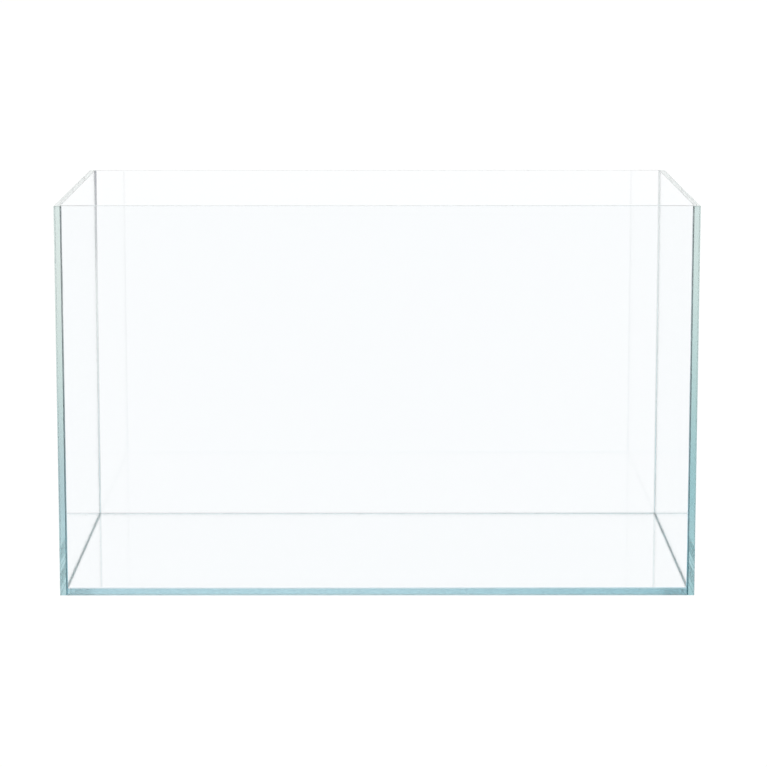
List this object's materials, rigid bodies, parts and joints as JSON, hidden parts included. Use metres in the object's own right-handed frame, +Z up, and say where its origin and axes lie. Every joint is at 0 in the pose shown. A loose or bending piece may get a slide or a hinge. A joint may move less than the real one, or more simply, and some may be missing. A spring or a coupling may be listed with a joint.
{
  "type": "rimless glass aquarium tank",
  "caption": "Open-topped rectangular aquarium tank of clear low-iron glass panes with polished edges, bonded and sealed along every joint with clear silicone.",
  "frame": {"origin": "centre of the base, on the surface that the tank stands on", "axes": "+X along the width to the right, +Y along the depth to the back, +Z up; the front pane faces -Y"},
  "size_m": [0.6, 0.36, 0.37],
  "materials": {
    "low_iron_glass": "polished",
    "clear_silicone": "satin"
  },
  "bodies": {
    "root": {"front_pane": "low_iron_glass", "back_pane": "low_iron_glass", "left_pane": "low_iron_glass", "right_pane": "low_iron_glass", "bottom_pane": "low_iron_glass", "front_left_bond": "clear_silicone", "front_right_bond": "clear_silicone", "back_left_bond": "clear_silicone", "back_right_bond": "clear_silicone", "bottom_front_bond": "clear_silicone", "bottom_back_bond": "clear_silicone", "bottom_left_bond": "clear_silicone", "bottom_right_bond": "clear_silicone", "front_left_bead": "clear_silicone", "front_right_bead": "clear_silicone", "back_left_bead": "clear_silicone", "back_right_bead": "clear_silicone", "bottom_front_bead": "clear_silicone", "bottom_back_bead": "clear_silicone", "bottom_left_bead": "clear_silicone", "bottom_right_bead": "clear_silicone"}
  },
  "joints": []
}
